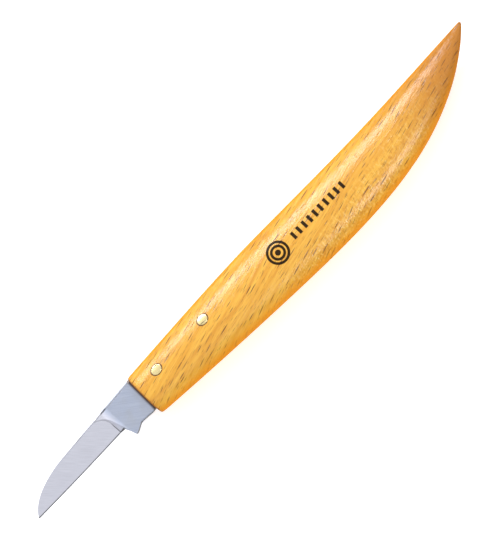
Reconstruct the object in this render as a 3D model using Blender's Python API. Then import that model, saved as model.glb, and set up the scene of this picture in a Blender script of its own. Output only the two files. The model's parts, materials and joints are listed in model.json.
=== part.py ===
"""Whittling knife: a ground steel blade whose flat tang two brass pins hold in a one-piece wooden handle.

The knife lies on its flank.  +X runs from the blade's tip to the handle's point, +Y towards the spine
and +Z up.  The origin is the middle of the underside of the bounding box.

Every piece is drawn in the same drawing frame: X from the blade's tip, Y from the knife's axis (the line
from the blade's tip towards the handle's point) and Z from the middle plane of the blade.  The empty
"knife" carries that drawing frame to the part's own frame.
"""
import math

import bmesh
import bpy
from mathutils import Matrix, Vector

# ---- lengths along the knife (metres) ----
EDGE_LENGTH = 0.0324            # the blade's tip to the heel of its edge
RICASSO_LENGTH = 0.0099         # heel to the handle's front face, on the axis
HANDLE_LENGTH = 0.1277          # front face to the handle's point
BLADE_REACH = EDGE_LENGTH + RICASSO_LENGTH

# ---- handle: outline, thickness and front ----
# Heights over the axis at shares of the handle's length, joined by a smooth curve.
SPINE_LINE = ((0.0, 0.0064), (0.20, 0.0059), (0.36, 0.0052), (0.50, 0.0038), (0.72, 0.0019), (1.0, 0.0009))
BELLY_LINE = (
    (0.0, -0.00645), (0.15, -0.0092), (0.33, -0.01215), (0.48, -0.01425), (0.62, -0.0152),
    (0.76, -0.01385), (0.88, -0.0093), (0.96, -0.00385), (1.0, 0.0001),
)
HALF_THICKNESS_LINE = (
    (0.0, 0.0053), (0.10, 0.0063), (0.22, 0.00715), (0.45, 0.0074), (0.66, 0.00715),
    (0.82, 0.0056), (0.93, 0.0031), (1.0, 0.0006),
)
FLANK_HALF_THICKNESS = 0.0070   # the blank is planed flat at this height on both flanks
SECTION_FULLNESS = 2.35         # 2 is an oval section, more is nearer to a rectangle
FRONT_LEAN = 0.065              # the front face leans back towards the spine, as a slope
FRONT_ROUNDING = 0.0004
SECTION_POINTS = 32
SECTIONS = 30
SECTION_CROWDING = 1.6          # more than 1 sets the sections closer together towards the point

# ---- blade and tang ----
STOCK_THICKNESS = 0.0020        # the tang keeps the thickness of the steel strip
FACE_THICKNESS = 0.0018         # in front of the handle both faces are ground clean
FACE_STEP_GAP = 0.0005          # from the handle's front face to the end of the clean faces
SPINE_HEIGHT = 0.0061
SPINE_STEP = 0.0064             # heel forwards to where the spine dips to the nose
NOSE_HEIGHT = 0.0058            # the spine's height where it starts to fall to the tip
NOSE_LENGTH = 0.0160            # tip to that place
TIP_HEIGHT = 0.0002
EDGE_DROP = 0.0016              # the heel of the edge lies this far under the axis
EDGE_BELLY = 0.0002             # how much the edge bulges from a straight line
SPUR_BACK = 0.0016              # heel back to the spur under the ricasso
SPUR_DROP = 0.00495
SPUR_WIDTH = 0.0006
NOTCH_LENGTH = 0.0023           # spur to the root of the notch behind it
NOTCH_DROP = 0.0040
RICASSO_DROP = 0.0045           # underside of the ricasso and the tang
UNDERSIDE_TURN = 0.0018         # handle's front face forwards to where the underside turns straight
EDGE_CHAMFER = 0.0005           # along the spine and the ricasso's underside
GRIND_STOP = 0.0014             # heel forwards to the end of the ground flat
SHOULDER_SLOPE = 0.45           # rise of the shoulder between the flat and the ricasso, over its length
GROUND_SPINE_THICKNESS = 0.00164
GROUND_EDGE_THICKNESS = 0.0002

# How far, and which way, the outline's curves leave its corners (x, y).
TIP_PULL = (0.0015, 0.0027)             # up the nose
HEEL_PULL = (0.0002, -0.0010)           # down the spur's front
SPUR_FRONT_PULLS = ((-0.0002, 0.0010), (0.0, -0.0002))
SPUR_POINT_PULLS = ((-0.0003, -0.00005), (0.0006, 0.0002))
NOTCH_PULLS = ((-0.0009, -0.0003), (0.0010, -0.00005))
NOSE_PULLS = ((0.0050, 0.0), (-0.0095, 0.0))

# ---- slot for the tang, sawn in from the spine with a round cutter ----
SLOT_GAP = 0.0003               # between tang and slot, all round
SLOT_FLOOR_LENGTH = 0.0140      # front face to where the floor starts to rise with the cutter's radius
CUTTER_RADIUS = 0.0300
TANG_LENGTH = 0.0350            # front face to the end of the tang
TANG_INSET = 0.00025            # the tang's back lies this far under the handle's spine

# ---- pins ----
PIN_RADIUS = 0.0015
PIN_HOLE_GAP = 0.0003
PIN_PROUD = 0.00015             # the dressed pin ends stand this far out of the wood
FRONT_PIN_BACK = 0.0074         # front face to the front pin
PIN_SPACING = 0.0176
FRONT_PIN_UNDER_SPINE = 0.0052
REAR_PIN_UNDER_SPINE = 0.0057
PIN_SIDES = 32

# ---- drawing aids ----
OVERCUT = 0.002                 # how far cutters reach past what they cut
ARC_STEPS = 8
BACK_STEPS = 3
TINY = 1e-6


def along(line, share):
    """Height at a share of the length on the smooth curve through a line's points."""
    last = len(line) - 1
    slopes = []
    for i in range(last + 1):
        before, after = line[max(i - 1, 0)], line[min(i + 1, last)]
        slopes.append((after[1] - before[1]) / (after[0] - before[0]))
    i = 0
    while i < last - 1 and share > line[i + 1][0]:
        i += 1
    (start, low), (end, high) = line[i], line[i + 1]
    width = end - start
    t = (share - start) / width
    return (
        (2 * t**3 - 3 * t**2 + 1) * low
        + (t**3 - 2 * t**2 + t) * width * slopes[i]
        + (3 * t**2 - 2 * t**3) * high
        + (t**3 - t**2) * width * slopes[i + 1]
    )


def spine_at(x):
    """Height of the handle's spine over the axis at a distance from the blade's tip."""
    return along(SPINE_LINE, (x - BLADE_REACH) / HANDLE_LENGTH)


# ---- objects, materials and cuts ----
def empty_scene():
    for thing in list(bpy.data.objects):
        bpy.data.objects.remove(thing, do_unlink=True)
    for group in list(bpy.data.collections):
        bpy.data.collections.remove(group)


def new_collection(name):
    group = bpy.data.collections.new(name)
    bpy.context.scene.collection.children.link(group)
    return group


def finish_material(name, colour, roughness, metallic):
    material = bpy.data.materials.new(name)
    material.use_nodes = True
    shader = material.node_tree.nodes["Principled BSDF"]
    shader.inputs["Base Color"].default_value = (*colour, 1.0)
    shader.inputs["Roughness"].default_value = roughness
    shader.inputs["Metallic"].default_value = metallic
    return material


def add_object(name, shape, group):
    """A new object in a collection, from a bmesh or a mesh."""
    mesh = shape
    if isinstance(shape, bmesh.types.BMesh):
        mesh = bpy.data.meshes.new(name)
        shape.normal_update()
        bmesh.ops.recalc_face_normals(shape, faces=shape.faces[:])
        shape.to_mesh(mesh)
        shape.free()
    thing = bpy.data.objects.new(name, mesh)
    group.objects.link(thing)
    return thing


def as_cutter(thing):
    thing.display_type = "WIRE"
    thing.hide_render = True
    return thing


def boolean(target, cutter, operation="DIFFERENCE"):
    modifier = target.modifiers.new(cutter.name, "BOOLEAN")
    modifier.operation = operation
    modifier.solver = "EXACT"
    modifier.object = cutter


def flat_shape(name, points, thickness, group):
    """A flat piece on the middle plane: a filled 2D curve, turned into a mesh with welded caps.

    A point is (x, y) for a sharp corner, or (x, y, left handle, right handle) for a curved one.
    """
    curve = bpy.data.curves.new(name, "CURVE")
    curve.dimensions = "2D"
    curve.fill_mode = "BOTH"
    curve.extrude = thickness / 2
    curve.resolution_u = 10
    spline = curve.splines.new("BEZIER")
    spline.bezier_points.add(len(points) - 1)
    spline.use_cyclic_u = True
    for knot, point in zip(spline.bezier_points, points):
        knot.co = (point[0], point[1], 0)
        if len(point) == 2:
            knot.handle_left_type = knot.handle_right_type = "VECTOR"
            continue
        knot.handle_left_type = knot.handle_right_type = "FREE"
        knot.handle_left = (*point[2], 0)
        knot.handle_right = (*point[3], 0)
    drawing = bpy.data.objects.new(name + "_outline", curve)
    group.objects.link(drawing)
    bpy.context.view_layer.update()
    mesh = bpy.data.meshes.new_from_object(drawing.evaluated_get(bpy.context.evaluated_depsgraph_get()))
    bpy.data.objects.remove(drawing, do_unlink=True)
    shape = bmesh.new()
    shape.from_mesh(mesh)
    bmesh.ops.remove_doubles(shape, verts=shape.verts[:], dist=TINY)
    return shape


# ---- handle ----
def section(x, lean, half_thickness, grow):
    """One rounded section of the handle as a ring of points."""
    top = spine_at(x) + grow
    bottom = along(BELLY_LINE, (x - BLADE_REACH) / HANDLE_LENGTH) - grow
    middle, half_height = (top + bottom) / 2, (top - bottom) / 2
    ring = []
    for i in range(SECTION_POINTS):
        angle = 2 * math.pi * i / SECTION_POINTS
        across, out = math.cos(angle), math.sin(angle)
        y = middle + half_height * math.copysign(abs(across) ** (2 / SECTION_FULLNESS), across)
        z = (half_thickness + grow) * math.copysign(abs(out) ** (2 / SECTION_FULLNESS), out)
        ring.append(Vector((x + lean * y, y, z)))
    return ring


def handle_body(grow=0.0):
    """The handle's outer shape as a loft of sections, with both flanks planed flat.

    With grow it is the same shape, that much bigger all round except on the planed flanks.
    """
    rings = [section(BLADE_REACH, FRONT_LEAN, along(HALF_THICKNESS_LINE, 0), grow - FRONT_ROUNDING)]
    for i in range(SECTIONS):
        share = 1 - (1 - i / (SECTIONS - 1)) ** SECTION_CROWDING
        x = BLADE_REACH + FRONT_ROUNDING + (HANDLE_LENGTH - FRONT_ROUNDING) * share
        rings.append(section(x, FRONT_LEAN * (1 - share), along(HALF_THICKNESS_LINE, share), grow))

    shape = bmesh.new()
    loops = [[shape.verts.new(point) for point in ring] for ring in rings]
    for ring, following in zip(loops, loops[1:]):
        for i in range(SECTION_POINTS):
            j = (i + 1) % SECTION_POINTS
            shape.faces.new((ring[i], ring[j], following[j], following[i]))
    shape.faces.new(loops[0])
    shape.faces.new(loops[-1])
    bmesh.ops.recalc_face_normals(shape, faces=shape.faces[:])
    for side in (1, -1):
        cut = bmesh.ops.bisect_plane(
            shape,
            geom=shape.verts[:] + shape.edges[:] + shape.faces[:],
            plane_co=(0, 0, side * FLANK_HALF_THICKNESS),
            plane_no=(0, 0, side),
            dist=TINY,
            clear_outer=True,
        )
        rim = [item for item in cut["geom_cut"] if isinstance(item, bmesh.types.BMEdge)]
        bmesh.ops.contextual_create(shape, geom=rim)
    return shape


# ---- tang and slot ----
def cutter_arc(radius, end_x):
    """Points where the round cutter lifts the slot's floor, from the end of the floor to end_x."""
    centre_x = BLADE_REACH + SLOT_FLOOR_LENGTH
    centre_y = CUTTER_RADIUS - RICASSO_DROP - SLOT_GAP
    last_angle = math.asin((end_x - centre_x) / radius)
    points = []
    for i in range(ARC_STEPS + 1):
        angle = last_angle * i / ARC_STEPS
        points.append((centre_x + radius * math.sin(angle), centre_y - radius * math.cos(angle)))
    return points


def tang_outline():
    """The tang's outline, from its underside at the handle round its end to its back at the handle."""
    end_x = BLADE_REACH + TANG_LENGTH
    points = cutter_arc(CUTTER_RADIUS - SLOT_GAP, end_x)
    for i in range(BACK_STEPS + 1):
        x = end_x - TANG_LENGTH * i / (BACK_STEPS + 1)
        points.append((x, spine_at(x) - TANG_INSET))
    return points


def slot_outline():
    """The slot's outline, open at the front and along the spine."""
    clear_height = SPINE_LINE[0][1] + OVERCUT
    centre_y = CUTTER_RADIUS - RICASSO_DROP - SLOT_GAP
    run_out = math.sqrt(CUTTER_RADIUS**2 - (centre_y - clear_height) ** 2)
    points = cutter_arc(CUTTER_RADIUS, BLADE_REACH + SLOT_FLOOR_LENGTH + run_out)
    front_x = BLADE_REACH - OVERCUT
    return points + [(front_x, clear_height), (front_x, points[0][1])]


def pin_places():
    """Centres of the two pins on the middle plane."""
    front_x = BLADE_REACH + FRONT_PIN_BACK
    rear_x = front_x + PIN_SPACING
    return [
        (front_x, spine_at(front_x) - FRONT_PIN_UNDER_SPINE),
        (rear_x, spine_at(rear_x) - REAR_PIN_UNDER_SPINE),
    ]


def rod(place, radius):
    """A round rod across the whole handle at a pin's place."""
    shape = bmesh.new()
    bmesh.ops.create_cone(
        shape,
        cap_ends=True,
        segments=PIN_SIDES,
        radius1=radius,
        radius2=radius,
        depth=2 * (FLANK_HALF_THICKNESS + OVERCUT),
        matrix=Matrix.Translation((*place, 0)),
    )
    return shape


# ---- blade ----
def knot(x, y, pull_in, pull_out):
    """A curved corner of an outline, with the ends of its two handles."""
    return (x, y, (x + pull_in[0], y + pull_in[1]), (x + pull_out[0], y + pull_out[1]))


def blade_outline():
    """The blade's outline, from the tip along the edge, round the tang and back along the spine."""
    third = EDGE_LENGTH / 3
    fall = (TIP_HEIGHT + EDGE_DROP) / 3
    spur_x = EDGE_LENGTH + SPUR_BACK
    return [
        knot(0, TIP_HEIGHT, TIP_PULL, (third, -fall - EDGE_BELLY)),
        knot(EDGE_LENGTH, -EDGE_DROP, (-third, fall - EDGE_BELLY / 2), HEEL_PULL),
        knot(spur_x - SPUR_WIDTH, -SPUR_DROP + SPUR_WIDTH / 2, *SPUR_FRONT_PULLS),
        knot(spur_x, -SPUR_DROP, *SPUR_POINT_PULLS),
        knot(spur_x + NOTCH_LENGTH, -NOTCH_DROP, *NOTCH_PULLS),
        (BLADE_REACH - UNDERSIDE_TURN, -RICASSO_DROP),
        *tang_outline(),
        (EDGE_LENGTH - SPINE_STEP, SPINE_HEIGHT),
        knot(NOSE_LENGTH, NOSE_HEIGHT, *NOSE_PULLS),
    ]


def blade_slab(group):
    """The blade as cut from strip, with chamfers along its back and the underside of ricasso and tang."""
    slab = flat_shape("blade", blade_outline(), STOCK_THICKNESS, group)
    bmesh.ops.dissolve_limit(slab, angle_limit=math.radians(0.5), verts=slab.verts[:], edges=slab.edges[:])
    bmesh.ops.recalc_face_normals(slab, faces=slab.faces[:])
    notch_x = EDGE_LENGTH + SPUR_BACK + NOTCH_LENGTH
    floor_end = BLADE_REACH + SLOT_FLOOR_LENGTH
    rims = []
    for edge in slab.edges:
        start, end = (vert.co for vert in edge.verts)
        if abs(start.z - end.z) > STOCK_THICKNESS / 2:
            continue
        front, back = min(start.x, end.x), max(start.x, end.x)
        on_spine = front > NOSE_LENGTH - TINY and min(start.y, end.y) > 0 and back - front > TINY
        on_underside = front > notch_x - TINY and back < floor_end + TINY and max(start.y, end.y) < 0
        if on_spine or on_underside:
            rims.append(edge)
    bmesh.ops.bevel(
        slab, geom=rims, offset=EDGE_CHAMFER, segments=1, profile=0.5, affect="EDGES", clamp_overlap=True
    )
    return slab


def face_cutter(side):
    """A block that takes one face of the strip down to the clean thickness, up to the handle."""
    low, high = FACE_THICKNESS / 2, STOCK_THICKNESS / 2 + OVERCUT
    back = BLADE_REACH - FACE_STEP_GAP
    shape = bmesh.new()
    bmesh.ops.create_cube(shape, size=1.0)
    size = Matrix.Diagonal((back + OVERCUT, 4 * SPINE_HEIGHT, high - low, 1))
    place = Matrix.Translation(((back - OVERCUT) / 2, 0, side * (low + high) / 2))
    lean = Matrix.Identity(4)
    lean[0][1] = FRONT_LEAN
    bmesh.ops.transform(shape, matrix=lean @ place @ size, verts=shape.verts[:])
    return shape


def grind_cutter(side):
    """What the grindstone takes off one face: over a leaning flat, and over the shoulder behind it."""
    grind_end = EDGE_LENGTH - GRIND_STOP
    clear = STOCK_THICKNESS + OVERCUT
    profile = [(-OVERCUT, clear), (-OVERCUT, 0), (grind_end, 0), (grind_end + clear / SHOULDER_SLOPE, clear)]

    spine, edge = GROUND_SPINE_THICKNESS / 2, GROUND_EDGE_THICKNESS / 2
    edge_fall = (TIP_HEIGHT + EDGE_DROP) / EDGE_LENGTH
    height = SPINE_HEIGHT - TIP_HEIGHT + edge_fall * grind_end
    slope = (spine - edge) / height
    reach = 4 * SPINE_HEIGHT
    shape = bmesh.new()
    face = shape.faces.new([shape.verts.new((x, -reach / 2, z)) for x, z in profile])
    pushed = bmesh.ops.extrude_face_region(shape, geom=[face])["geom"]
    ends = [item for item in pushed if isinstance(item, bmesh.types.BMVert)]
    bmesh.ops.translate(shape, verts=ends, vec=(0, reach, 0))
    for vert in shape.verts:
        x, y, z = vert.co
        vert.co.z = side * (z + edge + slope * (y - TIP_HEIGHT + edge_fall * x))
    return shape


# ---- the knife ----
def build():
    empty_scene()
    knife_parts = new_collection("whittling_knife")
    cutters = new_collection("cutters")
    knife = bpy.data.objects.new("knife", None)
    knife_parts.objects.link(knife)

    steel = finish_material("ground_steel", (0.62, 0.64, 0.68), 0.35, 1.0)
    beech = finish_material("varnished_beech", (0.78, 0.47, 0.16), 0.35, 0.0)
    brass = finish_material("brass", (0.90, 0.74, 0.42), 0.25, 1.0)

    places = pin_places()
    holes = []
    for i, place in enumerate(places):
        hole = add_object("pin_hole_%d" % i, rod(place, PIN_RADIUS + PIN_HOLE_GAP), cutters)
        holes.append(as_cutter(hole))

    blade = add_object("blade", blade_slab(cutters), knife_parts)
    blade.data.materials.append(steel)
    for label, cutter in (("face", face_cutter), ("grind", grind_cutter)):
        for side in (1, -1):
            boolean(blade, as_cutter(add_object("%s_%+d" % (label, side), cutter(side), cutters)))

    handle = add_object("handle", handle_body(), knife_parts)
    handle.data.materials.append(beech)
    slot = add_object(
        "slot", flat_shape("slot", slot_outline(), STOCK_THICKNESS + 2 * SLOT_GAP, cutters), cutters
    )
    boolean(handle, as_cutter(slot))
    for hole in holes:
        boolean(blade, hole)
        boolean(handle, hole)

    dressing = as_cutter(add_object("pin_dressing", handle_body(PIN_PROUD), cutters))
    for name, place in zip(("front_pin", "rear_pin"), places):
        pin = add_object(name, rod(place, PIN_RADIUS), knife_parts)
        pin.data.materials.append(brass)
        boolean(pin, dressing, "INTERSECT")

    for thing in knife_parts.objects[:] + cutters.objects[:]:
        if thing.type == "MESH":
            thing.parent = knife
            thing.data.shade_smooth()
            thing.data.set_sharp_from_angle(angle=math.radians(30))
    stand_on_origin(knife, [thing for thing in knife_parts.objects if thing.type == "MESH"])


def stand_on_origin(knife, pieces):
    """Move the knife so that the origin is the middle of the underside of its bounding box."""
    bpy.context.view_layer.update()
    graph = bpy.context.evaluated_depsgraph_get()
    corners = [Vector(corner) for piece in pieces for corner in piece.evaluated_get(graph).bound_box]
    low = [min(corner[i] for corner in corners) for i in range(3)]
    high = [max(corner[i] for corner in corners) for i in range(3)]
    knife.location = (-(low[0] + high[0]) / 2, -(low[1] + high[1]) / 2, -low[2])
    bpy.context.view_layer.update()


build()
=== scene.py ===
# %% [markdown]
# # A whittling knife, finished for the camera
#
# The knife is a short ground blade held in a one-piece beech handle by two brass pins.  Its frame, the
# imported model, says where everything is: X runs from the blade's tip to the handle's point, Y towards the
# spine and Z up, with the knife lying on its flank.  This lesson makes the visible pieces around that
# frame: a handle with a smooth skin, a saw cut and drilled holes, a blade with a ground face, and dressed
# pin heads.  Each piece is modelled the way a person would at the screen, with edit-mode operators called
# from code.

# %% Load the frame
import json
import math

import bpy
import bmesh
from mathutils import Matrix, Vector

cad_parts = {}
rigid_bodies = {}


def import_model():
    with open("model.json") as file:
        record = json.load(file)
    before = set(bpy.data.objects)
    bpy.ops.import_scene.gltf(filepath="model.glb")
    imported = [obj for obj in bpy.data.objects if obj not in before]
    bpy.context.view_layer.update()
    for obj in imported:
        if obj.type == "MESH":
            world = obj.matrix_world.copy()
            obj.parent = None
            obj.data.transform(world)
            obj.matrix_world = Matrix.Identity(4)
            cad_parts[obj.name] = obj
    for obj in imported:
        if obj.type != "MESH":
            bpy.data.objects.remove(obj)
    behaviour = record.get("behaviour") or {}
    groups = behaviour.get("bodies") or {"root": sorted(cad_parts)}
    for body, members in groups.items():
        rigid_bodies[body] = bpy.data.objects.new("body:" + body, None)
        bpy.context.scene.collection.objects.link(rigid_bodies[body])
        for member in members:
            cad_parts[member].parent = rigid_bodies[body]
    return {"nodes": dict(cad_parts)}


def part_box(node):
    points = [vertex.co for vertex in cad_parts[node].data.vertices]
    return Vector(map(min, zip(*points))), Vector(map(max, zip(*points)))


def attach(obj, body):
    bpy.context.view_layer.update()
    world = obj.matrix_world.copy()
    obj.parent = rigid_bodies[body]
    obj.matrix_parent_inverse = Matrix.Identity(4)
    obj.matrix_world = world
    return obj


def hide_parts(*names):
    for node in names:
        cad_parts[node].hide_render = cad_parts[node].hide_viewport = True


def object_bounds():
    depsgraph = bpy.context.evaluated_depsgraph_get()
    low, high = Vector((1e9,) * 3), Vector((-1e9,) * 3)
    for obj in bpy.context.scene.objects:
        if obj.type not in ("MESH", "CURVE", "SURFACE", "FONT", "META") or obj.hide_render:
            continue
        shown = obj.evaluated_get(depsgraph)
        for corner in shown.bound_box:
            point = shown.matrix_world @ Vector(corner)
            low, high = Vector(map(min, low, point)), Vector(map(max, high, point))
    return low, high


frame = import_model()
cad_low, cad_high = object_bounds()
mm = 0.001
print("frame box in mm:", [round(side / mm, 1) for side in (Vector(cad_high) - Vector(cad_low))])

# %% [markdown]
# ## Places taken from the frame
#
# A maker measures from a centre line.  Here it is the middle plane of the blade, and a drawing corner: the
# blade's tip in X and the knife's axis in Y, which lies a fixed drop under the top of the spine.  Everything
# below is drawn from that corner, so the pieces follow the frame if it moves.

# %% The drawing corner
TIP_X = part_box("blade")[0].x
HANDLE_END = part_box("handle")[1].x
MIDDLE = (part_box("handle")[0].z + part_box("handle")[1].z) / 2
SPINE_TOP = 6.4 * mm      # the handle's highest line, over the axis
AXIS_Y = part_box("handle")[1].y - SPINE_TOP
HALF_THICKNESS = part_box("handle")[1].z - MIDDLE


def place(x, y, z=0.0):
    """A point of the drawing, x from the blade's tip and y from the axis, in the frame."""
    return Vector((TIP_X + x, AXIS_Y + y, MIDDLE + z))


FRONT = 42.3 * mm         # from the blade's tip to the handle
LENGTH = HANDLE_END - TIP_X - FRONT
print("handle length in mm:", round(LENGTH / mm, 1))

# %% [markdown]
# ## Hands: small helpers for edit mode
#
# An operator works on whatever is selected, so each step starts by clearing the selection and then picks
# faces, edges or corners by their place.  These helpers do only that, and the modelling itself stays in the
# cells where it can be read.

# %% Selecting and finishing


def only(thing):
    """Select one object and make it active."""
    for other in bpy.context.view_layer.objects:
        other.select_set(False)
    thing.select_set(True)
    bpy.context.view_layer.objects.active = thing


def edit(thing, mode="FACE"):
    """Open one object in edit mode with nothing selected."""
    only(thing)
    bpy.ops.object.mode_set(mode="EDIT")
    bpy.ops.mesh.select_mode(type=mode)
    bpy.ops.mesh.select_all(action="DESELECT")


def done():
    """Leave edit mode."""
    bpy.ops.object.mode_set(mode="OBJECT")


def pick(thing, kind, test):
    """In edit mode, select the faces, edges or verts that pass a test, and say how many."""
    mesh = bmesh.from_edit_mesh(thing.data)
    bpy.ops.mesh.select_all(action="DESELECT")
    chosen = [item for item in getattr(mesh, kind) if test(item)]
    for item in chosen:
        item.select = True
    mesh.select_flush_mode()
    bmesh.update_edit_mesh(thing.data)
    return len(chosen)


def apply_modifiers(thing):
    only(thing)
    for modifier in list(thing.modifiers):
        bpy.ops.object.modifier_apply(modifier=modifier.name)


def settle(thing):
    """Put the object's place into its mesh."""
    only(thing)
    bpy.ops.object.transform_apply(location=True, rotation=True, scale=True)


def cut_with(thing, cutter, keep=False):
    """Cut one piece with another and throw the cutter away."""
    cut = thing.modifiers.new("cut", "BOOLEAN")
    cut.operation = "INTERSECT" if keep else "DIFFERENCE"
    cut.solver = "EXACT"
    cut.object = cutter
    apply_modifiers(thing)
    bpy.data.objects.remove(cutter, do_unlink=True)


def name_it(name):
    """Name the object that was just added."""
    thing = bpy.context.active_object
    thing.name = thing.data.name = name
    return thing


print("helpers ready, frame nodes:", sorted(frame["nodes"]))

# %% [markdown]
# ## The handle's skin
#
# The handle starts as a sawn blank and is rounded over on a sanding belt, so every section is a soft oval
# and the whole is one smooth skin.  A lathe shape would be round, and a subdivided box would need many cage
# points to follow the fish-like outline.  So the section is drawn once, as a square whose corners are
# bevelled into an oval, and then pushed along the handle: each push is one extrude, then a resize and a
# shift to the section that belongs there.  Subdivision makes the skin between the sections smooth.
#
# Each outline below gives heights in millimetres over the axis at shares of the handle's length.

# %% Outlines of the handle
SPINE_LINE = ((0.0, 6.4), (0.20, 5.9), (0.36, 5.2), (0.50, 3.8), (0.72, 1.9), (1.0, 0.9))
BELLY_LINE = (
    (0.0, -6.45), (0.15, -9.2), (0.33, -12.15), (0.48, -14.25), (0.62, -15.2),
    (0.76, -13.85), (0.88, -9.3), (0.96, -3.85), (1.0, 0.1),
)
THICKNESS_LINE = (
    (0.0, 5.3), (0.10, 6.2), (0.24, 6.9), (0.45, 7.0), (0.66, 6.9), (0.82, 5.6), (0.93, 3.1), (1.0, 0.6),
)


def along(line, share):
    """Height in metres at a share of the handle's length, on a smooth curve through the line's points."""
    last = len(line) - 1
    i = 0
    while i < last - 1 and share > line[i + 1][0]:
        i += 1
    slopes = []
    for j in (i, i + 1):
        before, after = line[max(j - 1, 0)], line[min(j + 1, last)]
        slopes.append((after[1] - before[1]) / (after[0] - before[0]))
    (start, low), (end, high) = line[i], line[i + 1]
    width = end - start
    t = (share - start) / width
    height = (
        (2 * t**3 - 3 * t**2 + 1) * low + (t**3 - 2 * t**2 + t) * width * slopes[0]
        + (3 * t**2 - 2 * t**3) * high + (t**3 - t**2) * width * slopes[1]
    )
    return height * mm


def section_at(share):
    """Middle height, half height and half thickness of the handle's section."""
    top, bottom = along(SPINE_LINE, share), along(BELLY_LINE, share)
    return (top + bottom) / 2, (top - bottom) / 2, along(THICKNESS_LINE, share)


front_halves = section_at(0.0)[1:]
print("front section, half height and thickness in mm:", [round(half / mm, 2) for half in front_halves])

# %% Draw one section and push it along
LEAD = -0.03      # the skin starts a little in front of the handle, and is trimmed later
SECTION_SHARES = [LEAD, 0.02, 0.08, 0.15, 0.22, 0.30, 0.38, 0.46, 0.54, 0.62, 0.69, 0.76, 0.82, 0.87, 0.91,
                  0.945, 0.97, 0.988, 1.0]
FULLNESS = 0.5544   # bevel profile: 0.5 is a true oval, more is fuller at the shoulders

middle, half_height, half_thick = section_at(LEAD)
first_centre = place(FRONT + LEAD * LENGTH, middle)
bpy.ops.mesh.primitive_plane_add(size=2, location=first_centre, rotation=(0, math.pi / 2, 0))
handle = name_it("handle_skin")
settle(handle)
edit(handle, "VERT")
bpy.ops.mesh.select_all(action="SELECT")
bpy.ops.mesh.bevel(affect="VERTICES", offset_type="PERCENT", offset_pct=50, segments=8, profile=FULLNESS)
bpy.ops.mesh.select_all(action="SELECT")
bpy.ops.mesh.remove_doubles(threshold=1e-5)
bpy.ops.mesh.select_all(action="SELECT")
bpy.ops.transform.resize(value=(1, half_height, half_thick), center_override=first_centre)
bpy.ops.mesh.select_mode(type="FACE")
bpy.ops.mesh.select_all(action="SELECT")
for before, share in zip(SECTION_SHARES, SECTION_SHARES[1:]):
    old_middle, old_height, old_thick = section_at(before)
    middle, half_height, half_thick = section_at(share)
    step = (LENGTH * (share - before), middle - old_middle, 0)
    bpy.ops.mesh.extrude_region_move(TRANSFORM_OT_translate={"value": step})
    bpy.ops.transform.resize(
        value=(1, half_height / old_height, half_thick / old_thick),
        center_override=place(FRONT + share * LENGTH, middle),
    )
done()
print("handle cage:", len(handle.data.vertices), "points in", len(SECTION_SHARES), "sections")

# %% [markdown]
# ## Trim, round and sand
#
# The skin is subdivided, then its front is sawn off at the slight lean the real one has, and the sawn rim is
# broken with a small round bevel, as a touch of the sanding belt would leave it.

# %% Smooth the skin and saw off the front
FRONT_LEAN = 0.065        # slope of the sawn front
RIM_ROUNDING = 0.45 * mm

smooth = handle.modifiers.new("smooth", "SUBSURF")
smooth.levels = smooth.render_levels = 2
apply_modifiers(handle)
edit(handle)
bpy.ops.mesh.select_all(action="SELECT")
bpy.ops.mesh.normals_make_consistent(inside=False)
bpy.ops.mesh.select_all(action="SELECT")
bpy.ops.mesh.bisect(
    plane_co=place(FRONT, 0), plane_no=(-1, FRONT_LEAN, 0), use_fill=True, clear_outer=True, threshold=1e-6
)
front_faces = pick(handle, "faces", lambda face: face.normal.x < -0.99)
bpy.ops.mesh.region_to_loop()
bpy.ops.mesh.bevel(offset=RIM_ROUNDING, offset_type="OFFSET", segments=4, profile=0.5, affect="EDGES")
done()
print("sawn front faces:", front_faces, " skin faces:", len(handle.data.polygons))

# %% [markdown]
# ## The saw cut for the tang
#
# The tang sits in a slot that a thick saw blade cuts in from the spine.  The cutter here is that saw: a disc,
# whose front half is pulled forward to stand for its travel.  It leaves a straight floor that rises in the
# saw's own radius, which is why the slot fades out behind the rear pin.

# %% Cut the slot
SAW_RADIUS = 30 * mm
SLOT_WIDTH = 1.9 * mm
SLOT_FLOOR = -4.6 * mm         # height of its straight floor over the axis
SLOT_FLOOR_LENGTH = 14 * mm


def saw_sweep(radius, width):
    """The saw's disc with its travel, as a solid."""
    centre = place(FRONT + SLOT_FLOOR_LENGTH, SLOT_FLOOR + SAW_RADIUS)
    bpy.ops.mesh.primitive_cylinder_add(vertices=192, radius=radius, depth=width, location=centre)
    disc = name_it("saw")
    settle(disc)
    edit(disc, "VERT")
    pick(disc, "verts", lambda vert: vert.co.x < centre.x - 1e-6)
    bpy.ops.transform.translate(value=(-radius, 0, 0))
    done()
    return disc


skin_copy = handle.copy()
skin_copy.data = handle.data.copy()
bpy.context.scene.collection.objects.link(skin_copy)
cut_with(handle, saw_sweep(SAW_RADIUS, SLOT_WIDTH))
print("handle faces after the saw cut:", len(handle.data.polygons))

# %% [markdown]
# ## Pins, driven and dressed
#
# Each pin is a brass rod driven through wood and tang and peened over, which spreads it a little along the
# grain.  Its ends are then filed down with the wood, so they follow the flank's slope and stand a hair proud.
# The same is done here: a rod is trimmed by a slightly fattened copy of the handle's skin, and the rim that
# is left gets a small round bevel.

# %% Drill the holes and dress the pins
PIN_SPREAD = (1.06, 0.86)      # along and across the grain
PIN_FIT = 0.04 * mm            # the hole is this much wider in radius
PROUD = 0.22 * mm
PIN_RIM = 0.20 * mm
RIM_ANGLE = math.radians(40)   # sharper edges than this are the rim's

edit(skin_copy)
bpy.ops.mesh.select_all(action="SELECT")
bpy.ops.transform.shrink_fatten(value=PROUD)
done()


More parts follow.
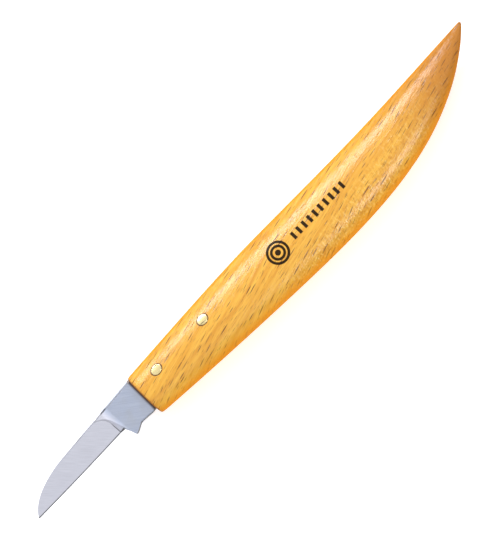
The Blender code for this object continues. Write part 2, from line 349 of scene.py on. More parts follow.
def pin_rod(node, extra=0.0):
    """An oval rod where the frame has its pin."""
    low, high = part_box(node)
    radius = (high.x - low.x) / 2 + extra
    bpy.ops.mesh.primitive_cylinder_add(
        vertices=64, radius=radius, depth=2.4 * HALF_THICKNESS, location=(low + high) / 2
    )
    rod = name_it(node + "_rod")
    rod.scale = (*PIN_SPREAD, 1)
    settle(rod)
    return rod


pins = []
for node in ("front_pin", "rear_pin"):
    cut_with(handle, pin_rod(node, PIN_FIT))
    pin = pin_rod(node)
    dressing = skin_copy.copy()
    dressing.data = skin_copy.data.copy()
    bpy.context.scene.collection.objects.link(dressing)
    cut_with(pin, dressing, keep=True)
    edit(pin, "EDGE")
    rims = pick(pin, "edges", lambda edge: edge.calc_face_angle(0) > RIM_ANGLE)
    bpy.ops.mesh.bevel(offset=PIN_RIM, offset_type="OFFSET", segments=4, profile=0.5, affect="EDGES")
    done()
    pin.name = pin.data.name = "dressed_" + node
    pins.append(pin)
    print(pin.name, "rim edges:", rims, "height in mm:", round(pin.dimensions.z / mm, 2))
bpy.data.objects.remove(skin_copy, do_unlink=True)
handle.name = handle.data.name = "beech_handle"

# %% [markdown]
# ## The blade's outline
#
# The blade is stamped from strip, so it begins as a flat outline with a thickness.  A curve object could draw
# it, but here it is traced as one would trace a template: a single corner is extruded round the outline, and
# the loop is filled.  Straight stretches need only their ends; the curved nose, spur and notch are read from
# short Bezier arcs.

# %% Corners of the outline, in drawing millimetres
TIP_HEIGHT, SPINE_HEIGHT, NOSE_HEIGHT = 0.2, 6.1, 5.8
NOSE_START, SPINE_START = 16.0, 27.0      # the nose's curve ends and the straight spine begins
HEEL = (32.4, -1.6)
SPUR_ROOT = (33.35, -4.6)
SPUR_POINT = (34.0, -4.95)
NOTCH = (36.3, -4.0)
UNDERSIDE = (40.5, -4.5)
TANG_END = 77.3
TANG_STATIONS = (TANG_END, 68.0, 58.0, 50.0)
TANG_DROP = 0.2           # the tang's back lies this far under the wood
SAW_CLEAR = 0.1 * mm      # between tang and slot floor


def bezier(start, handle_a, handle_b, end, steps):
    """Points of a Bezier arc in drawing millimetres, without its first one."""
    points = []
    for i in range(1, steps + 1):
        t = i / steps
        weights = ((1 - t) ** 3, 3 * t * (1 - t) ** 2, 3 * t * t * (1 - t), t**3)
        points.append(tuple(
            sum(weight * point[axis] for weight, point in zip(weights, (start, handle_a, handle_b, end)))
            for axis in (0, 1)
        ))
    return points


def saw_arc(radius, end_x, steps):
    """Points of the slot's rising floor, in drawing millimetres, for a given radius."""
    centre_x = (FRONT + SLOT_FLOOR_LENGTH) / mm
    centre_y = (SLOT_FLOOR + SAW_RADIUS) / mm
    last = math.asin((end_x - centre_x) / (radius / mm))
    turns = [last * i / steps for i in range(steps + 1)]
    return [
        (centre_x + radius / mm * math.sin(turn), centre_y - radius / mm * math.cos(turn)) for turn in turns
    ]


tip = (0.0, TIP_HEIGHT)
nose = (NOSE_START, NOSE_HEIGHT)
tang_back = [(x, along(SPINE_LINE, (x * mm - FRONT) / LENGTH) / mm - TANG_DROP) for x in TANG_STATIONS]
outline = [tip]
outline += bezier(tip, (10.8, -0.6), (21.6, -1.15), HEEL, 16)
outline += bezier(HEEL, (32.55, -2.4), (33.2, -3.4), SPUR_ROOT, 8)
outline += bezier(SPUR_ROOT, (33.42, -4.95), (33.7, -5.0), SPUR_POINT, 6)
outline += bezier(SPUR_POINT, (34.5, -4.8), (35.4, -4.35), NOTCH, 8)
outline += bezier(NOTCH, (37.3, -3.95), (39.0, -4.25), UNDERSIDE, 8)
outline += saw_arc(SAW_RADIUS - SAW_CLEAR, TANG_END, 12)
outline += tang_back
outline += [(42.0, SPINE_HEIGHT), (SPINE_START, SPINE_HEIGHT)]
outline += bezier((SPINE_START, SPINE_HEIGHT), (24.0, SPINE_HEIGHT - 0.05), (21.0, NOSE_HEIGHT), nose, 8)
outline += bezier(nose, (6.5, NOSE_HEIGHT), (1.5, 2.9), tip, 24)[:-1]
print("outline corners:", len(outline), "from", outline[0])

# %% Trace the outline and give it its thickness
BLADE_THICKNESS = 1.8 * mm
points = [place(x * mm, y * mm, -BLADE_THICKNESS / 2) for x, y in outline]
bpy.ops.mesh.primitive_plane_add(size=mm, location=points[0])
blade = name_it("ground_blade")
settle(blade)
edit(blade, "VERT")
bpy.ops.mesh.select_all(action="SELECT")
bpy.ops.mesh.merge(type="CENTER")
for before, point in zip(points, points[1:]):
    bpy.ops.mesh.extrude_region_move(TRANSFORM_OT_translate={"value": point - before})
bpy.ops.mesh.select_all(action="SELECT")
bpy.ops.mesh.edge_face_add()
bpy.ops.mesh.select_all(action="SELECT")
bpy.ops.mesh.extrude_region_move(TRANSFORM_OT_translate={"value": (0, 0, BLADE_THICKNESS)})
bpy.ops.mesh.select_all(action="SELECT")
bpy.ops.mesh.normals_make_consistent(inside=False)
done()
print("blade outline corners:", len(points), " faces:", len(blade.data.polygons))

# %% [markdown]
# ## Rounding the spine and grinding the faces
#
# The smith breaks the spine with two strokes of the file where a finger rests, then grinds both faces.  The
# rounding fades in behind the nose, so its edges carry bevel weights that grow towards the handle.  The
# ground flat leans towards the edge, runs up close to the spine, turns a round corner and stops at a crisp
# line across the blade, with a soft shoulder between it and the ricasso.  A block of that outline, its lower
# rim eased by a hollow bevel, is the grindstone: it leans as the flat does and cuts one face, and its mirror
# image cuts the other.

# %% Round the spine
SPINE_ROUNDING = 0.7 * mm
TAPER_FROM, TAPER_TO = 20.5, 26.0      # the rounding fades in between these, in drawing mm
OVER = 5.3                             # the spine's corners lie over this, in drawing mm


def outline_edges(test):
    """A test for edges round a face of the blade, whose ends pass a further test in drawing mm."""
    def check(edge):
        ends = [(vert.co - place(0, 0)) / mm for vert in edge.verts]
        return abs(ends[0].z - ends[1].z) < 0.1 and all(test(end) for end in ends)
    return check


edit(blade, "EDGE")
spine_edges = pick(blade, "edges", outline_edges(lambda end: end.y > OVER and end.x > TAPER_FROM))
done()
weights = blade.data.attributes.new("bevel_weight_edge", "FLOAT", "EDGE")
for edge in blade.data.edges:
    if edge.select:
        rear = max(blade.data.vertices[i].co.x - TIP_X for i in edge.vertices) / mm
        weights.data[edge.index].value = min(1.0, (rear - TAPER_FROM) / (TAPER_TO - TAPER_FROM))
rounding = blade.modifiers.new("spine rounding", "BEVEL")
rounding.limit_method = "WEIGHT"
rounding.width = SPINE_ROUNDING
rounding.segments = 2
rounding.use_clamp_overlap = False
apply_modifiers(blade)
print("rounded spine edges:", spine_edges)

# %% Round the underside
UNDERSIDE_ROUNDING = 0.32 * mm
UNDER = -3.9                           # the underside's corners lie under this, in drawing mm
UNDER_FROM, UNDER_TO = 36.2, 57.0      # from the notch to the end of the slot's straight floor

edit(blade, "EDGE")
under_edges = pick(
    blade, "edges", outline_edges(lambda end: end.y < UNDER and UNDER_FROM < end.x < UNDER_TO)
)
bpy.ops.mesh.bevel(offset=UNDERSIDE_ROUNDING, offset_type="OFFSET", segments=3, profile=0.5, affect="EDGES")
done()
print("rounded underside edges:", under_edges)

# %% Grind both faces
GRIND_END = 31.0 * mm
GRIND_TOP = 5.6 * mm         # the flat stops this high over the axis, just under the spine
GRIND_CORNER = 3.8 * mm      # radius of the flat's corner
SHOULDER = 2.0 * mm          # from the flat's end to the ricasso
SHOULDER_RISE = 0.45         # the shoulder's height as a share of its length
SPINE_HALF = 0.82 * mm       # half thickness of the ground part at the spine's height
EDGE_HALF = 0.07 * mm
STONE = Vector((60, 40, 20)) * mm

edge_fall = (TIP_HEIGHT - HEEL[1]) / HEEL[0]
grind_slope = (SPINE_HALF - EDGE_HALF) / ((SPINE_HEIGHT - TIP_HEIGHT) * mm + edge_fall * GRIND_END)


def grindstone(side):
    """A block whose inner face is the ground flat of one side, with the flat's outline and a hollow rim."""
    bpy.ops.mesh.primitive_cube_add(size=1, location=(0, 0, 0))
    stone = name_it("grindstone")
    stone.scale = STONE
    settle(stone)
    end_x, top_y = GRIND_END + SHOULDER, GRIND_TOP + SHOULDER
    edit(stone)
    bpy.ops.mesh.select_all(action="SELECT")
    bpy.ops.transform.translate(value=(end_x - STONE.x / 2, top_y - STONE.y / 2, STONE.z / 2))
    done()
    edit(stone, "EDGE")
    pick(stone, "edges", lambda edge: all(
        abs(vert.co.x - end_x) < 1e-6 and abs(vert.co.y - top_y) < 1e-6 for vert in edge.verts
    ))
    bpy.ops.mesh.bevel(
        offset=GRIND_CORNER + SHOULDER, offset_type="OFFSET", segments=12, profile=0.5, affect="EDGES"
    )
    pick(stone, "edges", lambda edge: all(
        vert.co.z < 1e-6 and vert.co.x > -STONE.x / 2 and vert.co.y > 0 for vert in edge.verts
    ) or all(vert.co.z < 1e-6 and vert.co.x > end_x - 1e-6 for vert in edge.verts))
    bpy.ops.mesh.bevel(offset=SHOULDER, offset_type="OFFSET", segments=6, profile=0.2, affect="EDGES")
    bpy.ops.mesh.select_all(action="SELECT")
    bpy.ops.transform.resize(value=(1, 1, SHOULDER_RISE), center_override=(0, 0, 0))
    done()
    stone.rotation_euler = (math.atan(grind_slope), -math.atan(grind_slope * edge_fall), 0)
    stone.location = (0, 0, EDGE_HALF - grind_slope * TIP_HEIGHT * mm)
    settle(stone)
    if side < 0:
        stone.scale = (1, 1, -1)
        settle(stone)
        edit(stone)
        bpy.ops.mesh.select_all(action="SELECT")
        bpy.ops.mesh.normals_make_consistent(inside=False)
        done()
    stone.location = place(0, 0)
    settle(stone)
    return stone


for side in (1, -1):
    cut_with(blade, grindstone(side))
print("ground blade faces:", len(blade.data.polygons))
print("blade size in mm:", [round(side / mm, 2) for side in blade.dimensions])

# %% [markdown]
# ## Shading the pieces
#
# Curved skins are shaded smooth and true corners stay sharp.  The limit angle tells them apart.

# %% Smooth shading
HANDLE_LIMIT, BLADE_LIMIT, PIN_LIMIT = 40, 12, 50      # degrees; a sharper edge stays a corner

for piece, limit in ((handle, HANDLE_LIMIT), (blade, BLADE_LIMIT), *((pin, PIN_LIMIT) for pin in pins)):
    only(piece)
    bpy.ops.object.shade_smooth_by_angle(angle=math.radians(limit))
    print(piece.name, "triangles:", sum(len(face.vertices) - 2 for face in piece.data.polygons))

# %% [markdown]
# ## Node bench
#
# Every finish below is a node graph on Object coordinates, which are metres in the frame, because each
# piece sits at the origin with its place in its mesh.  A few helpers keep the graphs readable: `add` makes a
# node, `calc`, `fade`, `band` and `blend` do the sums, and `bench` gives turned coordinates in millimetres,
# on which `noise` draws clouds with cells of a real size.

# %% Node helpers


def new_finish(name):
    """A material with its node tree and its shader."""
    finish = bpy.data.materials.new(name)
    finish.use_nodes = True
    return finish, finish.node_tree, finish.node_tree.nodes["Principled BSDF"]


def add(tree, kind, inputs=None, **settings):
    """A node with its settings and inputs; an input is a value or another node's output."""
    node = tree.nodes.new(kind)
    for key, value in settings.items():
        setattr(node, key, value)
    for key, value in (inputs or {}).items():
        if isinstance(value, bpy.types.NodeSocket):
            tree.links.new(value, node.inputs[key])
        else:
            node.inputs[key].default_value = value
    return node


def calc(tree, operation, first, second=0.0, third=0.0):
    """The result of one sum on numbers."""
    return add(tree, "ShaderNodeMath", {0: first, 1: second, 2: third}, operation=operation).outputs[0]


def vector_calc(tree, operation, first, second):
    """The result of one sum on vectors."""
    return add(tree, "ShaderNodeVectorMath", {0: first, 1: second}, operation=operation).outputs[0]


def fade(tree, value, start, end):
    """0 at start, 1 at end, smooth between."""
    node = add(
        tree, "ShaderNodeMapRange", {"Value": value, "From Min": start, "From Max": end},
        interpolation_type="SMOOTHSTEP",
    )
    return node.outputs[0]


def band(tree, value, middle, half, soft=0.06):
    """1 within half of the middle, with a soft edge."""
    return fade(tree, calc(tree, "ABSOLUTE", calc(tree, "SUBTRACT", value, middle)), half + soft, half - soft)


def blend(tree, amount, first, second):
    """The second colour over the first, by an amount from 0 to 1."""
    node = add(tree, "ShaderNodeMix", data_type="RGBA")
    for socket, value in ((node.inputs[0], amount), (node.inputs[6], first), (node.inputs[7], second)):
        if isinstance(value, bpy.types.NodeSocket):
            tree.links.new(value, socket)
        else:
            socket.default_value = value
    return node.outputs[2]


print("node helpers ready")

# %% Coordinates and noise


def split(tree, vector):
    """The X, Y and Z of a vector."""
    return add(tree, "ShaderNodeSeparateXYZ", {"Vector": vector}).outputs


def bench(tree, centre=(0, 0, 0), turn=0.0):
    """Object coordinates in millimetres from a centre, turned about the upright."""
    coords = add(tree, "ShaderNodeTexCoord").outputs["Object"]
    moved = vector_calc(tree, "SUBTRACT", coords, centre)
    scaled = add(tree, "ShaderNodeVectorMath", {0: moved, "Scale": 1 / mm}, operation="SCALE").outputs[0]
    turned = {"Vector": scaled, "Rotation": (0, 0, math.radians(turn))}
    return add(tree, "ShaderNodeMapping", turned, vector_type="POINT").outputs[0]


def facing(tree):
    """The way the surface faces, as X, Y and Z."""
    return split(tree, add(tree, "ShaderNodeTexCoord").outputs["Normal"])


def stretch(tree, vector, size):
    """Coordinates divided by a size, so that one unit is one cell of that size."""
    return vector_calc(tree, "MULTIPLY", vector, tuple(1 / side for side in size))


def noise(tree, vector, size, detail=3.0, roughness=0.5):
    """Cloudy noise, 0 to 1, with cells of a size in millimetres."""
    return add(
        tree, "ShaderNodeTexNoise",
        {"Vector": stretch(tree, vector, size), "Scale": 1.0, "Detail": detail, "Roughness": roughness},
    ).outputs["Fac"]


def length_of(tree, x, y):
    """The distance of a point from its centre."""
    return calc(tree, "SQRT", calc(tree, "MULTIPLY_ADD", x, x, calc(tree, "MULTIPLY", y, y)))


print("one bench unit is", mm, "m")

# %% [markdown]
# ## Varnished beech
#
# Beech is told by its rays: thin ribbons that run from bark to heart.  A board sawn across them shows their
# ends as short dark dashes along the grain.  Each dash here is a small ellipse drawn round one point of a
# Voronoi pattern, so its length and width are real sizes, and two layers of them give strong and faint rays.

# %% Dashes
GRAIN_TURN = -10.0      # the grain runs out towards the spine
HANDLE_CENTRE = place(FRONT + LENGTH / 2, -5 * mm)
RAY_LAYERS = (
    # cell, half length, half width, share of cells with a ray, strength
    ((4.5, 1.3, 9), 1.9, 0.16, 0.8, 0.95),
    ((2.5, 0.75, 6), 0.9, 0.10, 0.8, 0.55),
)


def dashes(tree, vector, cell, half_length, half_width, share):
    """Lens-shaped dashes, one in a given share of the cells, as a 0 to 1 mask."""
    cells = stretch(tree, vector, cell)
    voronoi = add(tree, "ShaderNodeTexVoronoi", {"Vector": cells, "Scale": 1.0, "Randomness": 0.95})
    offset = vector_calc(tree, "SUBTRACT", cells, voronoi.outputs["Position"])
    lens = tuple(side / half for side, half in zip(cell, (half_length, half_width, cell[2] * 0.75)))
    away = vector_calc(tree, "MULTIPLY", offset, lens)
    distance = add(tree, "ShaderNodeVectorMath", {0: away}, operation="LENGTH").outputs["Value"]
    dice = add(tree, "ShaderNodeSeparateColor", {"Color": voronoi.outputs["Color"]}).outputs
    size = calc(tree, "MULTIPLY_ADD", dice[0], 0.6, 0.6)
    inside = fade(tree, calc(tree, "DIVIDE", distance, size), 1.1, 0.4)
    present = calc(tree, "LESS_THAN", dice[1], share)
    strength = calc(tree, "MULTIPLY_ADD", dice[2], 0.45, 0.55)
    return calc(tree, "MULTIPLY", calc(tree, "MULTIPLY", inside, present), strength)


def ray_mask(tree, grain, sideways):
    """Both layers of rays, fainter where the surface turns to the side."""
    strong, faint = (
        calc(tree, "MULTIPLY", dashes(tree, grain, cell, half_length, half_width, share), strength)
        for cell, half_length, half_width, share, strength in RAY_LAYERS
    )
    shown = calc(tree, "MULTIPLY_ADD", sideways, -0.7, 1.0)
    return calc(tree, "MULTIPLY", calc(tree, "MAXIMUM", strong, faint), shown)


print("ray layers:", len(RAY_LAYERS))

# %% [markdown]
# ## Grain and mottle
#
# Long noise gives the streaks of the growth rings, and fine noise the fibres; a slow sway bends them all
# together.  Near the belly and the tail the skin cuts the rays at another angle, and they show as a mottle of
# light and dark flecks.  A drawn texture would stretch over the curled skin, but noise in space shows the
# inside of the wood, as a saw would.

# %% Grain
FACE_LIGHT = (0.86, 0.475, 0.055, 1)
FACE_DARK = (0.74, 0.345, 0.024, 1)
FLECK_LIGHT = (0.95, 0.62, 0.17, 1)
FLECK_DARK = (0.58, 0.22, 0.015, 1)
SWAY_CELL = (24, 9, 20)
SWAY = (0, 3.0, 3.0)                # how far the grain wanders, in mm
RING_AXIS = (0.02, 0.42, 0.9)       # square to the growth rings
STREAK_CELL = (30, 0.9, 8)
FIBRE_CELL = (3.5, 0.2, 2.5)


def swayed_grain(tree):
    """Coordinates that run along the grain."""
    flat = bench(tree, HANDLE_CENTRE, GRAIN_TURN)
    drift = add(
        tree, "ShaderNodeTexNoise", {"Vector": stretch(tree, flat, SWAY_CELL), "Scale": 1.0, "Detail": 1.0}
    ).outputs["Color"]
    drift = vector_calc(tree, "MULTIPLY", vector_calc(tree, "SUBTRACT", drift, (0.5, 0.5, 0.5)), SWAY)
    return vector_calc(tree, "ADD", flat, drift)


def grain_figure(tree, grain):
    """Colour of the plain board, with the streaks and fibres that it is made of."""
    layer = add(tree, "ShaderNodeVectorMath", {0: grain, 1: RING_AXIS}, operation="DOT_PRODUCT")
    depth = calc(tree, "MULTIPLY", layer.outputs["Value"], 0.9)
    rings = add(
        tree, "ShaderNodeTexNoise", {"W": depth, "Scale": 1.0, "Detail": 2.5}, noise_dimensions="1D"
    ).outputs["Fac"]
    streaks = noise(tree, grain, STREAK_CELL, detail=3.0)
    fibres = noise(tree, grain, FIBRE_CELL, detail=2.0, roughness=0.6)
    colour = blend(tree, fade(tree, streaks, 0.3, 0.7), FACE_LIGHT, FACE_DARK)
    colour = blend(tree, calc(tree, "MULTIPLY", fade(tree, rings, 0.5, 0.75), 0.45), colour, FLECK_DARK)
    colour = blend(tree, calc(tree, "MULTIPLY", fade(tree, fibres, 0.5, 0.72), 0.6), colour, FLECK_DARK)
    return colour, streaks, fibres


print("grain turned by", GRAIN_TURN, "degrees")

# %% Mottle
BELLY_TURN = -6.0       # the belly edge, on average
MOTTLE_TURN = 12
MOTTLE_CELL = (0.6, 1.1, 0.9)
MOTTLED_BELLY = (-2.0, -6.5)     # the mottle fades in between these, in mm from the handle's centre
MOTTLED_TAIL = (38.0, 52.0)
FLECKS = (
    # where in the noise a fleck starts and is full, its strength and its colour
    (0.52, 0.70, 0.6, FLECK_LIGHT),
    (0.48, 0.28, 0.7, FLECK_DARK),
)


def mottle_figure(tree, colour):
    """The board's colour with flecks near belly and tail; also the flecks and where they are."""
    mottle = noise(tree, bench(tree, HANDLE_CENTRE, MOTTLE_TURN), MOTTLE_CELL, detail=2.0)
    spot = split(tree, bench(tree, HANDLE_CENTRE, BELLY_TURN))
    near_belly = fade(tree, spot["Y"], *MOTTLED_BELLY)
    near_tail = fade(tree, spot["X"], *MOTTLED_TAIL)
    mottled = calc(tree, "MAXIMUM", near_belly, near_tail)
    for start, end, strength, fleck in FLECKS:
        flecks = fade(tree, mottle, start, end)
        amount = calc(tree, "MULTIPLY", flecks, calc(tree, "MULTIPLY", mottled, strength))
        colour = blend(tree, amount, colour, fleck)
    return colour, mottle, mottled


print("mottle cell in mm:", MOTTLE_CELL)

# %% [markdown]
# ## Ink and the lines round the pins
#
# A small plain mark is printed on the upper flank: a stump's three growth rings and a row of bars, nothing to
# read.  It is drawn by distances from its centre, so its edges stay crisp at any size.  Round each pin a thin
# dark line is drawn: partly finish gathered where the pin passes through the varnish, partly painted shade of
# the gap between pin and wood.

# %% Mark and joint lines
RING_MARK = place(93.2 * mm, -3.5 * mm)
BAR_MARK = place(108.2 * mm, -4.2 * mm)
MARK_TURN = 3.0
UPPER_FLANK = (2.0, 3.0)              # the ink fades in between these heights, in mm over the middle plane
HEART, RINGS = 0.8, (1.75, 2.85)      # radii in mm
RING_HALF = 0.36                      # half a ring's width
BAR_HALF, BAR_HALF_HEIGHT, ROW_HALF = 0.45, 1.1, 9.8
BAR_PITCH = 2.0
BAR_SHIFT = 51.0        # odd, so that the bars sit at odd X with a gap at the row's middle
INK_STRENGTH = 0.97
JOINT_STEP = 0.08       # from the pin's radius to the middle of the dark line round it
JOINT_HALF = 0.14
JOINT_STRENGTH = 0.95


def maker_mark(tree):
    """Mask of the ink, on the upper flank only."""
    spot = split(tree, bench(tree, RING_MARK, MARK_TURN))
    radius = length_of(tree, spot["X"], spot["Y"])
    ink = band(tree, radius, 0.0, HEART)
    for ring in RINGS:
        ink = calc(tree, "MAXIMUM", ink, band(tree, radius, ring, RING_HALF))
    spot = split(tree, bench(tree, BAR_MARK, MARK_TURN))
    stroke = calc(tree, "PINGPONG", calc(tree, "ADD", spot["X"], BAR_SHIFT), BAR_PITCH / 2)
    bars = calc(tree, "MULTIPLY", band(tree, stroke, 0.0, BAR_HALF), band(tree, spot["X"], 0.0, ROW_HALF))
    bars = calc(tree, "MULTIPLY", bars, band(tree, spot["Y"], 0.0, BAR_HALF_HEIGHT))
    on_top = fade(tree, spot["Z"], *UPPER_FLANK)
    mark = calc(tree, "MULTIPLY", calc(tree, "MAXIMUM", ink, bars), on_top)
    return calc(tree, "MULTIPLY", mark, INK_STRENGTH)


def joint_and_gap_shade(tree, node):
    """Mask of the dark oval round one pin: finish gathered in the joint, and painted shade of the gap."""
    low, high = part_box(node)
    spot = split(tree, bench(tree, (low + high) / 2))
    radius = length_of(
        tree, calc(tree, "DIVIDE", spot["X"], PIN_SPREAD[0]), calc(tree, "DIVIDE", spot["Y"], PIN_SPREAD[1])
    )
    line_radius = (high.x - low.x) / 2 / mm + JOINT_STEP
    return calc(tree, "MULTIPLY", band(tree, radius, line_radius, JOINT_HALF), JOINT_STRENGTH)


print("mark rings in mm:", RINGS, " row half length:", ROW_HALF)

# %% [markdown]
# ## The varnish
#
# Wood drinks more finish where its grain runs out, so it is darker on the sawn front and towards the tail.
# Along the curled sides it is darkened too, as painted shade.  The varnish itself is a clear coat over the
# colour.  It is full on the flanks, where it gives the long highlight, and thin along the sides and over the
# ink.

# %% Varnished wood
INK_COLOUR = (0.008, 0.005, 0.004, 1)
# painted shade: the colour the sides are darkened to, where the surface turns sideways
SIDE_SHADE_COLOUR = (0.70, 0.24, 0.006, 1)
END_COLOUR = (0.42, 0.15, 0.016, 1)
TAIL_COLOUR = (0.50, 0.175, 0.006, 1)
RAY_COLOUR = (0.095, 0.021, 0.002, 1)
DARKER_TAIL = (20.0, 56.0)             # in mm from the handle's centre
FULL_COAT, COAT_LOST = 0.52, 0.46      # the coat on the flanks, and what is rubbed off elsewhere
WOOD_RELIEF = 0.09 * mm


def deepen_and_shade(tree, colour, normal, sideways):
    """The colour deepened towards the tail and the sawn end, and darkened along the sides as painted shade.
    """
    along_handle = split(tree, bench(tree, HANDLE_CENTRE, BELLY_TURN))["X"]
    tail = calc(tree, "MULTIPLY", fade(tree, along_handle, *DARKER_TAIL), 0.9)
    colour = blend(tree, tail, colour, TAIL_COLOUR)
    # painted shade along the sides, where the surface turns sideways
    colour = blend(tree, calc(tree, "MULTIPLY", sideways, 0.85), colour, SIDE_SHADE_COLOUR)
    endways = fade(tree, calc(tree, "ABSOLUTE", normal["X"]), 0.08, 0.75)
    return blend(tree, endways, colour, END_COLOUR)


def beech_finish():
    finish, tree, shader = new_finish("varnished_beech")
    grain = swayed_grain(tree)
    normal = facing(tree)
    upright = calc(tree, "ABSOLUTE", normal["Z"])
    sideways = fade(tree, upright, 0.8, 0.2)
    colour, streaks, fibres = grain_figure(tree, grain)
    colour, mottle, mottled = mottle_figure(tree, colour)
    colour = deepen_and_shade(tree, colour, normal, sideways)
    rays = ray_mask(tree, grain, sideways)
    colour = blend(tree, rays, colour, RAY_COLOUR)
    # finish gathered round each pin, and painted shade of the gap between pin and wood
    for node in ("front_pin", "rear_pin"):
        colour = blend(tree, joint_and_gap_shade(tree, node), colour, RAY_COLOUR)
    mark = maker_mark(tree)
    tree.links.new(blend(tree, mark, colour, INK_COLOUR), shader.inputs["Base Color"])
    tree.links.new(calc(tree, "MULTIPLY_ADD", fibres, 0.10, 0.36), shader.inputs["Roughness"])

    relief = calc(tree, "MULTIPLY", mottle, calc(tree, "MULTIPLY_ADD", mottled, 0.6, 0.6))
    relief = calc(tree, "MULTIPLY_ADD", streaks, 1.2, relief)
    relief = calc(tree, "MULTIPLY_ADD", fibres, 0.7, relief)
    relief = calc(tree, "MULTIPLY_ADD", rays, -0.25, relief)
    raised = {"Height": relief, "Strength": 0.8, "Distance": WOOD_RELIEF}
    bump = add(tree, "ShaderNodeBump", raised).outputs[0]
    tree.links.new(bump, shader.inputs["Normal"])
    tree.links.new(bump, shader.inputs["Coat Normal"])

    rubbed = calc(tree, "MAXIMUM", mark, fade(tree, upright, 0.88, 0.5))
    tree.links.new(calc(tree, "MULTIPLY_ADD", rubbed, -COAT_LOST, FULL_COAT), shader.inputs["Coat Weight"])
    shader.inputs["Coat Roughness"].default_value = 0.23
    shader.inputs["Coat IOR"].default_value = 2.0
    shader.inputs["Specular IOR Level"].default_value = 0.0
    return finish


beech = beech_finish()
print("wood nodes:", len(beech.node_tree.nodes))

# %% [markdown]
# ## Ground steel
#
# The steel is not polished: the belt leaves fine scratches that cross the blade at a slant, and the ricasso
# keeps a duller, bluer skin than the freshly ground face.  Long thin noise in two directions makes the
# scratches, in the roughness, the colour and a very low bump.  Thin dark lines are painted shade, where the
# edge's bevel, the spine's rounding and the hollow at the end of the ground face turn from the light, and the
# narrow faces are painted darker as shade.  A painted shadow darkens the corner against the handle.

# %% Painted shade lines
EDGE_FALL, EDGE_SAG = 0.0764, 0.00065      # the edge lies at TIP_HEIGHT - EDGE_FALL x + EDGE_SAG x x
EDGE_SHADE = (0.40, 0.16)                      # the painted shade line along the edge is gone and full at these, over the edge
SPINE_SHADE = (17.0, 21.0)                       # the painted shade line on the spine's rounding fades in between these, in drawing mm
PLUNGE_SHADE_STEP, PLUNGE_SHADE_HALF = 0.05, 0.11          # the painted shade line across the blade, from the end of the ground face
PLUNGE_SHADE_TOP = (2.2, 0.8)                      # it fades out upwards between these, in drawing mm
CORNER_SHADOW_AHEAD = (-1.1, -0.4)                 # the painted shadow fades in and out along the axis, in mm from the front
CORNER_SHADOW_BEHIND = (1.6, 0.6)
LEAN_TURN = math.degrees(FRONT_LEAN)
# painted shade: colour of the thin lines
SHADE_LINE_COLOUR = (0.06, 0.06, 0.065, 1)
# painted shadow: colour of the corner against the handle
CORNER_SHADOW_COLOUR = (0.10, 0.08, 0.07, 1)
# painted shade: colour of the narrow faces turned from the light
NARROW_SHADE_COLOUR = (0.05, 0.05, 0.055, 1)


def shade_lines(tree, normal, ahead):
    """Mask of the painted shade lines along the edge, on the spine's rounding and at the end of the ground
    face.
    """
    spot = split(tree, bench(tree, place(0, 0)))
    bend = calc(tree, "MULTIPLY_ADD", spot["X"], EDGE_SAG, -EDGE_FALL)
    over_edge = calc(tree, "SUBTRACT", spot["Y"], calc(tree, "MULTIPLY_ADD", spot["X"], bend, TIP_HEIGHT))
    before_heel = fade(tree, spot["X"], HEEL[0] + 0.4, HEEL[0] - 0.2)
    edge_shade = calc(tree, "MULTIPLY", fade(tree, over_edge, *EDGE_SHADE), before_heel)
    under_top = fade(tree, spot["Y"], SPINE_HEIGHT - 0.18, SPINE_HEIGHT - 0.30)
    spine_shade = calc(tree, "MULTIPLY", fade(tree, normal["Y"], 0.15, 0.25), under_top)
    spine_shade = calc(tree, "MULTIPLY", spine_shade, fade(tree, spot["X"], *SPINE_SHADE))
    plunge_shade = calc(tree, "MULTIPLY", band(tree, ahead, PLUNGE_SHADE_STEP, PLUNGE_SHADE_HALF), fade(tree, spot["Y"], *PLUNGE_SHADE_TOP))
    lines = calc(tree, "MAXIMUM", calc(tree, "MAXIMUM", edge_shade, spine_shade), calc(tree, "MULTIPLY", plunge_shade, 0.8))
    return calc(tree, "MULTIPLY", lines, 0.9)


def corner_shadow(tree):
    """Mask of the painted shadow in the corner against the handle's leaning front."""
    beside = split(tree, bench(tree, place(FRONT, 0), LEAN_TURN))["X"]
    return calc(tree, "MULTIPLY", fade(tree, beside, *CORNER_SHADOW_AHEAD), fade(tree, beside, *CORNER_SHADOW_BEHIND))


print("front leans by", round(LEAN_TURN, 1), "degrees")

# %% Steel
GROUND_TURN, RICASSO_TURN = 52.0, 40.0
GROUND_CELL, RICASSO_CELL, STAIN_CELL = (5, 0.06, 5), (9, 0.12, 9), (3.2, 2.4, 3)
GROUND_COLOURS = ((0.63, 0.64, 0.73, 1), (0.75, 0.76, 0.86, 1))
RICASSO_COLOURS = ((0.42, 0.47, 0.60, 1), (0.52, 0.57, 0.70, 1))
STAIN_COLOUR = (0.44, 0.46, 0.50, 1)
RICASSO_FADE = (0.2, 2.2)         # its skin starts between these, in mm behind the ground face
ROUGH_SHOULDER = (1.1, 0.9, 0.4)  # middle, half width and softness, in mm behind the ground face
SCRATCH_RELIEF = 0.012 * mm


